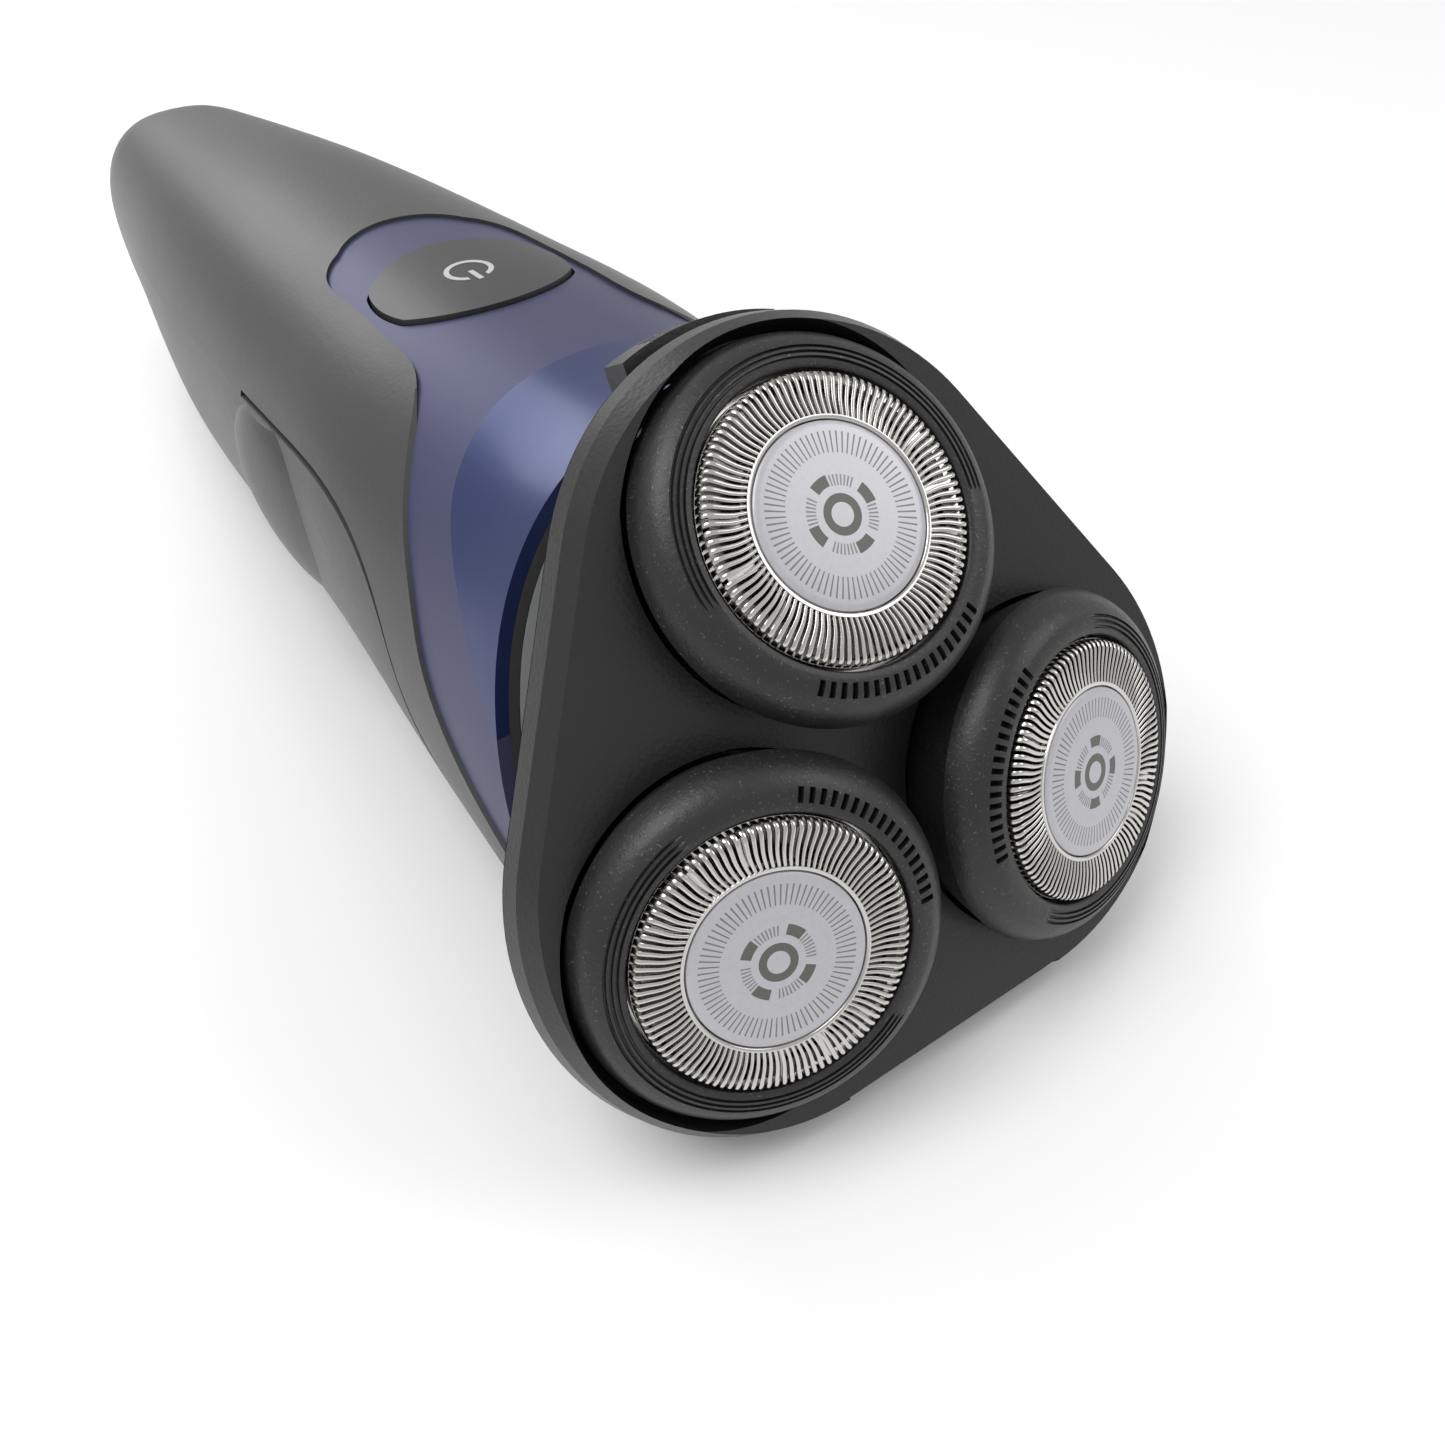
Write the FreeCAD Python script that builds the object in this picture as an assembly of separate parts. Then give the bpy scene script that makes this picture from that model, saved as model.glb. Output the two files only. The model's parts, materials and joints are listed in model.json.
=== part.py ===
import FreeCAD, Part
import math
import os

# Cordless rotary shaver with three floating cutters.  All sizes are in millimetres.
#
# Handle frame: X right, Y from the head towards the tail, Z towards the power button.
# Head frame:   X right, Y towards the front of the head, Z outward along the head's axis.
# Cutter frame: Z along one cutter's axis, X pointing away from the middle of the head.
# The finished part lies on its back: +Y towards the tail, +Z up, origin under the middle of its box.

V = FreeCAD.Vector

# ---- driving sizes -------------------------------------------------------------------------
handle_length = 157.0          # head centre to the flat end of the tail
tail_round = 13.0              # length of the rounded tail
tail_flat_share = 0.55         # the flat end's size, as a share of the full section there
head_tilt = 25.4               # head axis, leaning from the handle's axis to the front
shell_wall = 2.2
panel_thickness = 1.4
panel_recess = 0.35           # the blue panels lie this far under the grip shell's face
seam_gap = 0.1
parting_width = 0.6
parting_depth = 0.5
parting_end = 76.0

cutter_ring = 17.43            # cutter centres, from the head's axis
cutter_tilt = 14.5             # each cutter's axis, leaning outward
guard_radius = 10.12
guard_skin = 0.5
disc_radius = 6.55
slot_count = 48
slot_width = 0.32
holder_radius = 13.9
holder_clearance = 0.45
holder_swing = 3.0
lid_opening = 90.0
blade_count = 15
blade_gap = 0.12

corner_distance = 12.0         # corner arc centres of the head's outline, from its axis
corner_radius = 19.7
lid_top_radius = 18.6
lid_bottom = -8.5
lid_top = -5.0
lid_plate = 2.5
base_gap = 0.1
base_wall = 1.3
base_floor = 1.6
base_bottom = -17.5

hinge_inset = 1.3              # lid hinge axis, inside the rear edge
hinge_barrel = 1.3
hinge_pin = 0.5
pin_fit = 0.05
lid_knuckle = 5.0              # half-length of the lid's knuckle
hinge_half = 10.6

gear_depth = -13.4             # middle of the gears, along the head's axis
gear_width = 2.4
centre_teeth = 15
driven_teeth = 39
tooth_backlash = 0.12
pressure_angle = 20.0
gear_axle = 1.0
coupling_depth = 20.0          # ball coupling between the motor and the centre gear
coupling_ball = 1.9
ball_gap = 0.35

motor_radius = 8.0
motor_start = 27.0
motor_length = 28.0
armature_radius = 5.6
shaft_radius = 1.0
battery_radius = 7.1
battery_length = 50.0
battery_start = 58.0
battery_axis = -6.2
tray_bottom = 1.0
tray_thickness = 1.4
board_bottom = 5.5
board_thickness = 1.2
switch_top = 9.9

button_centre = 61.0
button_half_length = 8.3
button_half_width = 8.5
button_clearance = 0.25
button_proud = 0.05
button_travel = 0.8

socket_width = 8.2
socket_height = 5.2
socket_depth = 9.5
socket_skin = 0.7
contact_radius = 0.7
contact_length = 3.6

screw_stations = (118.0, 140.0)
screw_radius = 0.8
screw_head = 1.8
boss_radius = 2.6
boss_split = -8.0

arm_half = 9.0
arm_start = 30.0
arm_pivot = 64.0
arm_depth = 1.8
arm_gap = 0.4
arm_barrel = 1.2
arm_swing = 54.0
slider_start = 71.0
slider_length = 14.0
slider_half = 7.0
slider_travel = 6.0
slider_lift = 0.3
slider_height = 1.0
slider_slope = 2.7

swell_station = 66.5
swell_middle = -1.0
swell_height = 1.3
swell_size = (3.6, 14.0, 8.2)

tab_half = 6.5
tab_travel = 1.2
tab_proud = 0.8

FAR = 90.0
CORNERS = {"front": 90.0, "left": 210.0, "right": 330.0}

# Handle sections: station, half-width, top, bottom, height of the widest line, upper roundness.
SECTIONS = (
    (2.0, 24.9, 22.5, -22.2, -10.5, 1.90),
    (14.0, 24.5, 20.5, -21.9, -9.5, 1.94),
    (34.0, 23.3, 16.8, -21.0, -7.1, 2.10),
    (60.0, 21.6, 17.6, -19.8, -1.1, 2.32),
    (100.0, 19.0, 18.0, -17.9, -1.2, 2.37),
    (140.0, 13.0, 16.4, -15.1, 2.6, 2.45),
    (157.0, 10.2, 15.2, -13.4, 3.0, 2.45),
)
LOWER_ROUNDNESS = 2.5
SECTION_POINTS = 32

# Head base sections: depth, corner distance, corner radius.
BASE_SECTIONS = (
    (lid_bottom - base_gap, corner_distance, corner_radius),
    (-10.2, corner_distance, corner_radius - 0.7),
    (-12.5, corner_distance - 0.4, corner_radius - 1.9),
    (-15.5, corner_distance - 0.8, corner_radius - 3.4),
    (base_bottom, corner_distance - 1.0, corner_radius - 4.4),
)


# ---- placing -------------------------------------------------------------------------------
def turn(axis, degrees, base=V(0, 0, 0)):
    return FreeCAD.Placement(base, FreeCAD.Rotation(axis, degrees))


HEAD = turn(V(1, 0, 0), 90.0 - head_tilt)


def cutter_place(side):
    angle = CORNERS[side]
    ring = V(cutter_ring * math.cos(math.radians(angle)), cutter_ring * math.sin(math.radians(angle)), 0)
    return HEAD.multiply(turn(V(0, 0, 1), angle, ring)).multiply(turn(V(0, 1, 0), cutter_tilt))


def moved(shape, placement):
    copy = shape.copy()
    copy.Placement = placement.multiply(copy.Placement)
    return copy


# ---- small shape helpers --------------------------------------------------------------------
def block(low_x, high_x, low_y, high_y, low_z, high_z):
    return Part.makeBox(high_x - low_x, high_y - low_y, high_z - low_z, V(low_x, low_y, low_z))


def cylinder(radius, length, base=V(0, 0, 0), axis=V(0, 0, 1)):
    return Part.makeCylinder(radius, length, base, axis)


def ring(outer, inner, low, high):
    return cylinder(outer, high - low, V(0, 0, low)).cut(cylinder(inner, high - low + 2, V(0, 0, low - 1)))


def fuse(shapes):
    whole = shapes[0].multiFuse(list(shapes[1:])) if len(shapes) > 1 else shapes[0]
    return whole.removeSplitter()


def revolve(points):
    wire = Part.makePolygon([V(x, 0, z) for x, z in points] + [V(points[0][0], 0, points[0][1])])
    return Part.Face(wire).revolve(V(0, 0, 0), V(0, 0, 1), 360)


def smooth_edge(points):
    curve = Part.BSplineCurve()
    curve.interpolate(points)
    return curve.toShape()


def side_region(curve, close):
    """Solid across X whose (station, height) outline is a smooth curve closed by straight lines."""
    points = [V(-FAR, station, height) for station, height in curve]
    corners = [points[-1]] + [V(-FAR, station, height) for station, height in close] + [points[0]]
    edges = [smooth_edge(points)]
    edges += [Part.makeLine(a, b) for a, b in zip(corners, corners[1:])]
    return Part.Face(Part.Wire(edges)).extrude(V(2 * FAR, 0, 0))


def plan_region(half_curve, low, high):
    """Solid along Z with a left-right outline; the half curve runs over stations at positive X."""
    right = [V(x, station, low) for station, x in half_curve]
    left = [V(-x, station, low) for station, x in half_curve]
    edges = [
        smooth_edge(right),
        Part.makeLine(right[0], left[0]),
        smooth_edge(left),
        Part.Arc(right[-1], V(0, right[-1].y + 0.5 * right[-1].x, low), left[-1]).toShape(),
    ]
    face = Part.Face(Part.Wire(Part.__sortEdges__(edges)))
    return face.extrude(V(0, 0, high - low))


# ---- handle envelope ------------------------------------------------------------------------
def slopes(xs, ys):
    steps = [(ys[i + 1] - ys[i]) / (xs[i + 1] - xs[i]) for i in range(len(xs) - 1)]
    inner = [2 * a * b / (a + b) if a * b > 0 else 0.0 for a, b in zip(steps, steps[1:])]
    return [steps[0]] + inner + [steps[-1]]


def section_value(station, column):
    """Smooth monotone interpolation of one column of SECTIONS."""
    xs = [row[0] for row in SECTIONS]
    ys = [row[column] for row in SECTIONS]
    grads = slopes(xs, ys)
    i = max(j for j in range(len(xs) - 1) if xs[j] <= station or j == 0)
    span = xs[i + 1] - xs[i]
    t = (station - xs[i]) / span
    rise = (1 + 2 * t) * (1 - t) ** 2 * ys[i] + t * t * (3 - 2 * t) * ys[i + 1]
    return rise + span * (t * (1 - t) ** 2 * grads[i] - t * t * (1 - t) * grads[i + 1])


def tail_share(station):
    into = (station - (SECTIONS[-1][0] - tail_round)) / tail_round
    if into <= 0:
        return 1.0
    return tail_flat_share + (1 - tail_flat_share) * math.sqrt(max(0.0, 1 - into ** 2.6))


def section_wire(station, place, offset):
    half, top, bottom, wide, upper = [section_value(station, column) for column in range(1, 6)]
    share = tail_share(station)
    middle = 0.5 * (top + bottom)
    half, top, bottom, wide = [half * share] + [middle + (z - middle) * share for z in (top, bottom, wide)]
    points = []
    for i in range(SECTION_POINTS):
        angle = 2 * math.pi * i / SECTION_POINTS
        power = upper if math.sin(angle) >= 0 else LOWER_ROUNDNESS
        reach = (top + offset - wide) if math.sin(angle) >= 0 else (wide - bottom + offset)
        x = math.copysign(abs(math.cos(angle)) ** (2 / power), math.cos(angle)) * (half + offset)
        z = math.copysign(abs(math.sin(angle)) ** (2 / power), math.sin(angle)) * reach
        points.append(V(x, place, wide + z))
    curve = Part.BSplineCurve()
    even = [i / SECTION_POINTS for i in range(SECTION_POINTS + 1)]
    curve.interpolate(Points=points, PeriodicFlag=True, Parameters=even)
    return Part.Wire(curve.toShape())


def stretch(station):
    """Sections stay where they are up to the last straight stretch, which takes up a new length."""
    straight = SECTIONS[-1][0] - tail_round
    return station * (handle_length - tail_round) / straight if station < straight else \
        station + handle_length - SECTIONS[-1][0]


ENVELOPES = {}


def envelope(offset):
    """The handle's outer form, grown by the offset; each one is made once."""
    if offset not in ENVELOPES:
        ENVELOPES[offset] = make_envelope(offset)
    return ENVELOPES[offset]


def make_envelope(offset):
    stations = [2, 8, 14, 20, 27, 34, 42, 51, 60, 70, 80, 90, 100, 110, 120, 130, 138]
    stations += [SECTIONS[-1][0] - tail_round * (1 - t) for t in (0.0, 0.3, 0.55, 0.73, 0.86, 0.95, 1.0)]
    last = stations[-1]
    start = last - tail_round
    wires = []
    for station in stations:
        place = stretch(station)
        if station > start:
            place += offset * (station - start) / tail_round
        wires.append(section_wire(station, place, offset))
    return Part.makeLoft(wires, True, False)


def surface_bottom(station):
    return section_value(station, 3)


# ---- head outline ---------------------------------------------------------------------------
def outline_wire(depth, distance, radius):
    """Rounded triangle: three corner arcs joined by straight sides."""
    edges = []
    ends = []
    for angle in (90.0, 210.0, 330.0):
        centre = V(distance * math.cos(math.radians(angle)), distance * math.sin(math.radians(angle)), depth)
        points = [centre + V(math.cos(math.radians(a)), math.sin(math.radians(a)), 0) * radius
                  for a in (angle - 60, angle, angle + 60)]
        edges.append(Part.Arc(*points).toShape())
        ends.append((points[0], points[2]))
    for i in range(3):
        edges.append(Part.makeLine(ends[i][1], ends[(i + 1) % 3][0]))
    return Part.Wire(Part.__sortEdges__(edges))


def triangle_solid(sections, shrink=0.0):
    wires = [outline_wire(depth, distance, radius - shrink) for depth, distance, radius in sections]
    solids = [Part.makeLoft(list(pair), True, True) for pair in zip(wires, wires[1:])]
    return fuse(solids)


def rear_side(distance=corner_distance, radius=corner_radius):
    return -(0.5 * distance + radius)


# ---- regions on the handle's skin -----------------------------------------------------------
def panel_region():
    rising = ((-2, -13.5), (8, -11.2), (18.5, -8.6), (25.5, -5.9), (32, -1.0), (36, 4.1), (39, 7.3), (42, 10.4),
              (44.5, 12.6), (48, 14.6))
    flank = side_region(rising, ((48, FAR), (-2, FAR)))
    strip = plan_region(((40, 16.0), (47, 12.7), (50, 11.2), (56, 10.6), (66, 10.2), (73, 9.2), (75.5, 6.8)),
                        0, FAR)
    return flank.fuse(strip)


def gloss_region():
    rising = ((-2, -7.0), (8, -4.6), (16, -1.5), (20, 0.5), (25.5, 3.6), (29.5, 6.2), (34, 9.1), (36.5, 11.1),
              (38.5, 13.3), (40, 15.2), (41.5, 19.0))
    return side_region(rising, ((41.5, FAR), (-2, FAR)))


PARTING = ((-2, -13.0), (12, -12.0), (24, -11.7), (31, -11.0), (37, -6.8), (41, 0.2), (46, 4.3), (54, 6.7),
           (66, 7.0), (90, 6.6), (130, 5.6), (handle_length + 6, 4.6))


def rear_region(rise=0.0):
    parting = [(station, height + rise) for station, height in PARTING]
    return side_region(parting, ((handle_length + 6, -FAR), (-2, -FAR)))


def parting_groove():
    """Shallow shadow gap along the seam of the two shells, from the neck to the thumb swell."""
    band = rear_region(0.5 * parting_width).cut(rear_region(-0.5 * parting_width))
    band = band.common(block(-FAR, FAR, -5, parting_end, -FAR, FAR))
    return band.common(FULL).cut(envelope(-parting_depth))


def thumb_swell(side):
    """Almond-shaped swelling low on the handle's side, where the thumb rests."""
    ball = Part.makeSphere(1.0)
    stretch_it = FreeCAD.Matrix()
    stretch_it.scale(swell_size[0], swell_size[1], swell_size[2])
    ball = ball.transformGeometry(stretch_it)
    half = section_value(swell_station, 1)
    ball.rotate(V(0, 0, 0), V(1, 0, 0), 9)
    ball.translate(V(side * (half + swell_height - swell_size[0]), swell_station, swell_middle))
    return ball.common(rear_region(-0.5 * parting_width))


def below_neck(depth):
    """Half-space on the tail's side of a plane across the head's axis."""
    return moved(block(-FAR, FAR, -FAR, FAR, -3 * FAR, depth), HEAD)


def button_outline(grow, low, high):
    """Lens-shaped pill: two wide arcs across the handle joined by short ends."""
    half_x = button_half_width + grow
    half_y = button_half_length + grow
    end = 0.45 * half_y
    start = button_centre
    points = [V(-half_x, start - end, low), V(0, start - half_y, low), V(half_x, start - end, low),
              V(half_x + 0.6, start, low), V(half_x, start + end, low), V(0, start + half_y, low),
              V(-half_x, start + end, low), V(-half_x - 0.6, start, low)]
    edges = [Part.Arc(points[0], points[1], points[2]).toShape(),
             Part.Arc(points[2], points[3], points[4]).toShape(),
             Part.Arc(points[4], points[5], points[6]).toShape(),
             Part.Arc(points[6], points[7], points[0]).toShape()]
    return Part.Face(Part.Wire(edges)).extrude(V(0, 0, high - low))


NECK_PLANE = base_bottom - 0.2
FULL = envelope(0.0).common(below_neck(NECK_PLANE))
UNDER_PANEL = envelope(-panel_thickness)
INSIDE = envelope(-shell_wall)
REAR = FULL.common(rear_region())
FRONT = FULL.cut(rear_region())
GROOVE = parting_groove()
CORE = envelope(-shell_wall - 0.1)
SOCKET_HEIGHT = 0.5 * (section_value(SECTIONS[-1][0], 2) + section_value(SECTIONS[-1][0], 3))
PIVOT_HEIGHT = surface_bottom(arm_pivot) + arm_depth + 0.3
SEAM_LOW = 12.0                # screw posts reach past the shells' seam by here


def socket_bore(grow, depth, past=0.0):
    half_x = 0.5 * socket_width + grow
    half_z = 0.5 * socket_height + grow
    return block(-half_x, half_x, handle_length - depth, handle_length + past,
                 SOCKET_HEIGHT - half_z, SOCKET_HEIGHT + half_z)


def arm_region(grow, top=-10.0):
    end = arm_pivot + (arm_barrel * 2.0 if grow else 0.0)
    return block(-arm_half - grow, arm_half + grow, arm_start - grow, end, -FAR, top)


def slider_slot(grow, low, high):
    start = slider_start + 5.0 - (slider_travel + 0.4 if grow else 0.0)
    end = slider_start + slider_length - 3.0 + grow
    return block(-2.8 - grow, 2.8 + grow, start - grow, end, low, high)


def across(radius, half, station, height):
    return cylinder(radius, 2 * half, V(-half, station, height), V(1, 0, 0))


# ---- handle pieces --------------------------------------------------------------------------
def rear_shell():
    room = INSIDE
    for s in screw_stations:
        room = room.cut(cylinder(boss_radius, 60, V(0, s, boss_split - 60)))
    for side in (-1, 1):
        room = room.cut(block(side * 9.9 - 1.3, side * 9.9 + 1.3, arm_pivot - 1.6, arm_pivot + 1.6, -40,
                              PIVOT_HEIGHT + 1.2))
    shell = REAR.cut(GROOVE)
    for side in (-1, 1):
        shell = shell.fuse(thumb_swell(side))
    shell = shell.cut(room)
    shell = shell.cut(arm_region(arm_gap)).cut(slider_slot(0.4, -FAR, 0))
    shell = shell.cut(across(hinge_pin, 10.5, arm_pivot, PIVOT_HEIGHT))
    shell = shell.cut(socket_bore(socket_skin, socket_depth + socket_skin, 5))
    for s in screw_stations:
        shell = shell.cut(cylinder(screw_radius + 0.2, 40, V(0, s, -40)))
        shell = shell.cut(cylinder(screw_head + 0.15, 40, V(0, s, surface_bottom(s) + 2.2 - 40)))
    return shell


def grip_shell():
    room = INSIDE
    for s in screw_stations:
        room = room.cut(cylinder(boss_radius, 60, V(0, s, boss_split + seam_gap)))
    shell = FRONT.cut(room).cut(panel_pocket()).cut(GROOVE)
    for s in screw_stations:
        post = cylinder(boss_radius, SEAM_LOW - boss_split, V(0, s, boss_split + seam_gap))
        shell = shell.fuse(post)
    shell = shell.cut(button_outline(button_clearance, 0, FAR))
    shell = shell.cut(socket_bore(socket_skin, socket_depth + socket_skin, 5))
    for s in screw_stations:
        shell = shell.cut(cylinder(screw_radius, 10, V(0, s, boss_split)))
    return shell


def panel_pocket():
    return FRONT.common(panel_region()).cut(UNDER_PANEL)


def whole_panel():
    return panel_pocket().common(envelope(-panel_recess))


def front_panel():
    return whole_panel().cut(gloss_region()).cut(button_outline(button_clearance, 0, FAR))


def neck_cover():
    return whole_panel().common(gloss_region())


def chassis():
    slab = CORE.common(below_neck(NECK_PLANE)).cut(below_neck(NECK_PLANE - 2.4))
    slab = slab.cut(moved(cylinder(4.6, 40, V(0, 0, -40)), HEAD))
    slab = slab.cut(moved(ring(9.6, 8.0, NECK_PLANE - 1.0, NECK_PLANE + 1), HEAD))
    tray = CORE.common(block(-14, 14, 17.0, 112.0, tray_bottom, tray_bottom + tray_thickness))
    tray = tray.cut(moved(block(-FAR, FAR, -FAR, FAR, NECK_PLANE - 1.2, FAR), HEAD))
    pieces = [slab, tray]
    for start in (motor_start + 3, motor_start + motor_length - 5):
        saddle = block(-motor_radius - 2, motor_radius + 2, start, start + 2, MOTOR_AXIS, tray_bottom)
        pieces.append(saddle.cut(motor_cylinder(motor_radius)))
    for start in (battery_start + 6, battery_start + battery_length - 8):
        saddle = block(-battery_radius - 1.5, battery_radius + 1.5, start, start + 2, battery_axis, tray_bottom)
        pieces.append(saddle.cut(battery_cylinder()))
    for s in (40, 106):
        for x in (-7, 7):
            pieces.append(cylinder(1.2, board_bottom - tray_bottom, V(x, s, tray_bottom)))
    return fuse(pieces)


COUPLING = HEAD.multVec(V(0, 0, -coupling_depth))
MOTOR_AXIS = COUPLING.z


def motor_cylinder(radius):
    return cylinder(radius, motor_length, V(0, motor_start, MOTOR_AXIS), V(0, 1, 0))


def battery_cylinder():
    return cylinder(battery_radius, battery_length, V(0, battery_start, battery_axis), V(0, 1, 0))


def motor_can():
    can = motor_cylinder(motor_radius)
    room = cylinder(armature_radius + 0.8, motor_length - 2.4, V(0, motor_start + 1.2, MOTOR_AXIS), V(0, 1, 0))
    bore = cylinder(shaft_radius + pin_fit, motor_length + 4, V(0, motor_start - 2, MOTOR_AXIS), V(0, 1, 0))
    nose = cylinder(3.0, 1.6, V(0, motor_start - 1.6, MOTOR_AXIS), V(0, 1, 0))
    return can.fuse(nose).cut(room).cut(bore)


def motor_shaft():
    end = motor_start + motor_length + 0.8
    shaft = cylinder(shaft_radius, end - COUPLING.y, COUPLING, V(0, 1, 0))
    ball = Part.makeSphere(coupling_ball, COUPLING)
    return fuse([shaft, ball])


def armature():
    core = cylinder(armature_radius, motor_length - 6, V(0, motor_start + 3, MOTOR_AXIS), V(0, 1, 0))
    core = core.cut(cylinder(shaft_radius, motor_length, V(0, motor_start, MOTOR_AXIS), V(0, 1, 0)))
    for angle in (0, 120, 240):
        slot = block(-0.6, 0.6, motor_start, motor_start + motor_length, 2.6, armature_radius + 1)
        slot = moved(slot, turn(V(0, 1, 0), angle, V(0, 0, MOTOR_AXIS)))
        core = core.cut(slot)
    return core


def battery():
    cell = battery_cylinder()
    cap = cylinder(2.6, 0.8, V(0, battery_start - 0.8, battery_axis), V(0, 1, 0))
    return fuse([cell, cap])


def battery_contacts():
    front = block(-3, 3, battery_start - 1.2, battery_start - 0.8, battery_axis - 3, tray_bottom)
    end = battery_start + battery_length
    rear = block(-3, 3, end, end + 0.4, battery_axis - 3, tray_bottom)
    return Part.makeCompound([front, rear])


def circuit_board():
    return block(-9, 9, 36, 110, board_bottom, board_bottom + board_thickness)


def micro_switch():
    low = board_bottom + board_thickness
    body = block(-3, 3, button_centre - 3, button_centre + 3, low, switch_top - 0.8)
    plunger = cylinder(1.2, 0.8, V(0, button_centre, switch_top - 0.8))
    return fuse([body, plunger])


def button_floor():
    return section_value(button_centre, 2) - shell_wall - 1.8


def power_button():
    cap = envelope(button_proud).common(button_outline(0.0, button_floor(), FAR))
    flange = button_outline(0.9, button_floor() - 1.0, button_floor())
    stem = cylinder(1.5, button_floor() - 1.0 - switch_top - button_travel - 0.1,
                    V(0, button_centre, switch_top + button_travel + 0.1))
    return fuse([cap, flange, stem]).cut(power_mark())


def power_mark():
    """Plain open ring with a bar, let into the button's face."""
    face = V(0, button_centre, 0)
    loop = cylinder(2.3, FAR, face).cut(cylinder(1.8, FAR, face))
    loop = loop.cut(block(-0.9, 0.9, button_centre - 3, button_centre - 0.2, -1, FAR + 1))
    bar = block(-0.25, 0.25, button_centre - 2.6, button_centre - 0.3, 0, FAR)
    return loop.fuse(bar).common(envelope(button_proud + 0.05)).cut(envelope(button_proud - 0.15))


def charging_socket():
    cup = socket_bore(socket_skin, socket_depth + socket_skin)
    return cup.cut(socket_bore(0, socket_depth, 1)).cut(contact_holes())


def contact_pair(radius, start, length):
    return [cylinder(radius, length, V(x, start, SOCKET_HEIGHT), V(0, 1, 0)) for x in (-2.2, 2.2)]


def contact_holes():
    return fuse(contact_pair(contact_radius, handle_length - socket_depth - 3, 4))


def socket_contacts():
    start = handle_length - socket_depth - socket_skin - 1.5
    return Part.makeCompound(contact_pair(contact_radius, start, contact_length + socket_skin + 1.5))


def case_screws():
    screws = []
    for s in screw_stations:
        seat = surface_bottom(s) + 0.9
        head = cylinder(screw_head, 1.2, V(0, s, seat))
        head = head.cut(block(-1.3, 1.3, s - 0.25, s + 0.25, seat - 1, seat + 0.5))
        head = head.cut(block(-0.25, 0.25, s - 1.3, s + 1.3, seat - 1, seat + 0.5))
        shank = cylinder(screw_radius, boss_split + 8 - seat, V(0, s, seat + 1.0))
        screws.append(fuse([head, shank]))
    return Part.makeCompound(screws)


def neck_seal():
    return moved(ring(9.6, 8.0, NECK_PLANE - 1.0, base_bottom), HEAD)


# ---- trimmer --------------------------------------------------------------------------------
def trimmer_housing():
    skin = envelope(-shell_wall).cut(envelope(-shell_wall - 0.7))
    skin = skin.common(block(-13, 13, arm_start - 5, slider_start + slider_length + 6, -FAR, -12))
    skin = skin.cut(across(arm_barrel + arm_gap, arm_half + arm_gap, arm_pivot, PIVOT_HEIGHT))
    skin = skin.cut(across(hinge_pin, 11, arm_pivot, PIVOT_HEIGHT))
    return skin.cut(slider_slot(0.4, -FAR, 0))


def trimmer_arm():
    plate = envelope(0.0).cut(envelope(-arm_depth)).common(arm_region(0.0))
    barrel = across(arm_barrel, arm_half, arm_pivot, PIVOT_HEIGHT)
    web = block(-arm_half, arm_half, arm_pivot - 2.4, arm_pivot, PIVOT_HEIGHT - 1.0, PIVOT_HEIGHT)
    arm = fuse([plate, barrel, web.common(envelope(0.0))])
    arm = arm.cut(across(hinge_pin + pin_fit, arm_half + 1, arm_pivot, PIVOT_HEIGHT))
    return arm.cut(block(-FAR, FAR, arm_start - 1, arm_start + 5.2, COMB_TOP - 1.2, FAR)
                   .common(block(-arm_half + 0.6, arm_half - 0.6, 0, FAR, -FAR, FAR)))


COMB_TOP = surface_bottom(arm_start + 3) + arm_depth


def tooth_row(start, low, high, reach):
    teeth = [block(-arm_half + 1.0, arm_half - 1.0, start + 1.6, start + 5, low, high)]
    pitch = 1.0
    count = int((2 * arm_half - 2.6) / pitch)
    for i in range(count + 1):
        x = (i - 0.5 * count) * pitch
        teeth.append(block(x - 0.22, x + 0.22, start + 1.6 - reach, start + 1.7, low, high))
    return fuse(teeth)


def trimmer_comb():
    return tooth_row(arm_start, COMB_TOP - 1.1, COMB_TOP - 0.65, 1.4)


def trimmer_blade():
    return tooth_row(arm_start, COMB_TOP - 0.55, COMB_TOP - 0.1, 1.0).common(
        block(-arm_half + 1.8, arm_half - 1.8, 0, FAR, -FAR, FAR))


def trimmer_pin():
    return across(hinge_pin, 10.5, arm_pivot, PIVOT_HEIGHT)


def trimmer_slider():
    pad = envelope(slider_lift + slider_height).cut(envelope(slider_lift))
    pad = pad.common(block(-slider_half, slider_half, slider_start, slider_start + slider_length, -FAR, -8))
    for i in range(5):
        start = slider_start + 3 + 2 * i
        pad = pad.cut(block(-FAR, FAR, start, start + 0.8, -FAR,
                            surface_bottom(start) - slider_lift - 0.6 * slider_height))
    low = surface_bottom(slider_start) - slider_lift - 0.5
    neck = slider_slot(0.0, low, -15.4)
    plate = block(-4.5, 4.5, slider_start + 4, slider_start + slider_length - 2, -15.6, -14.8)
    return fuse([pad, neck, plate])


# ---- head base and drive --------------------------------------------------------------------
APEX = corner_distance + corner_radius
HINGE_Y = rear_side() + hinge_inset
HINGE_Z = lid_bottom + hinge_inset
GEAR_RING = cutter_ring + gear_depth * math.tan(math.radians(cutter_tilt))
MODULE = 2 * GEAR_RING / (centre_teeth + driven_teeth)
GEAR_LOW = gear_depth - 0.5 * gear_width
TAB_LOW = -13.8
TAB_HIGH = -10.7


def gear_places():
    return {side: V(GEAR_RING * math.cos(math.radians(a)), GEAR_RING * math.sin(math.radians(a)), 0)
            for side, a in CORNERS.items()}


def head_bar(radius, half, start=None):
    low = -half if start is None else start
    return cylinder(radius, 2 * half if start is None else half - start, V(low, HINGE_Y, HINGE_Z), V(1, 0, 0))


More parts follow.
